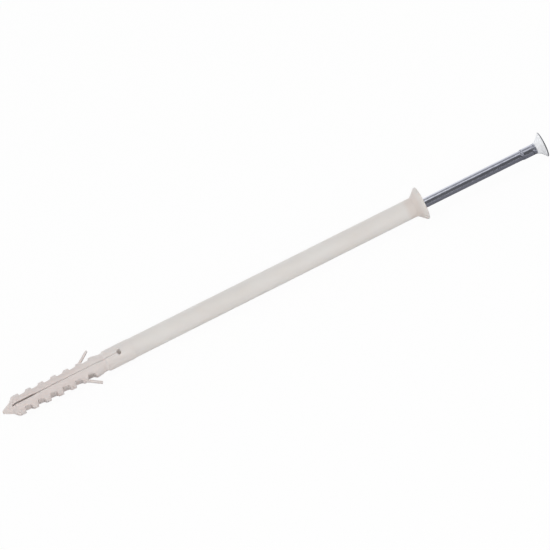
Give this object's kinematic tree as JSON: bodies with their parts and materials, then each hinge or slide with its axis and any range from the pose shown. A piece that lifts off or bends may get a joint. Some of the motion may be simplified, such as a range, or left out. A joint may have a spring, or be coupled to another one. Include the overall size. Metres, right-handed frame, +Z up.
{
  "type": "hammer fixing plug",
  "caption": "Long nylon hammer-in expansion plug with a toothed split tip, swept-back barbs and a flared collar, and its countersunk steel drive nail standing part-way out.",
  "frame": {"origin": "middle of the bounding box at floor height, with the fixing lying on its side as it comes to rest: on the collar's rim, the first tooth and the tip of one barb", "axes": "+X runs along the fixing from the plug's tip to the nail's head, +Z is up, and the barb that touches the floor is on the -Y side, so the barbs stand at 32 degrees to the floor"},
  "size_m": [0.232, 0.0132, 0.0132],
  "materials": {
    "nylon": "off-white moulded nylon, satin",
    "zinc_steel": "bright zinc plating with fine drawing lines"
  },
  "bodies": {
    "plug": {"expansion_plug": "nylon"},
    "nail": {"drive_nail": "zinc_steel"}
  },
  "joints": [
    {"name": "nail_drive", "type": "slide", "parent": "plug", "child": "nail", "axis": [-1, 0.0011, -0.0093], "range_m": [0, 0.0518], "deforming": ["expansion_plug"]}
  ]
}
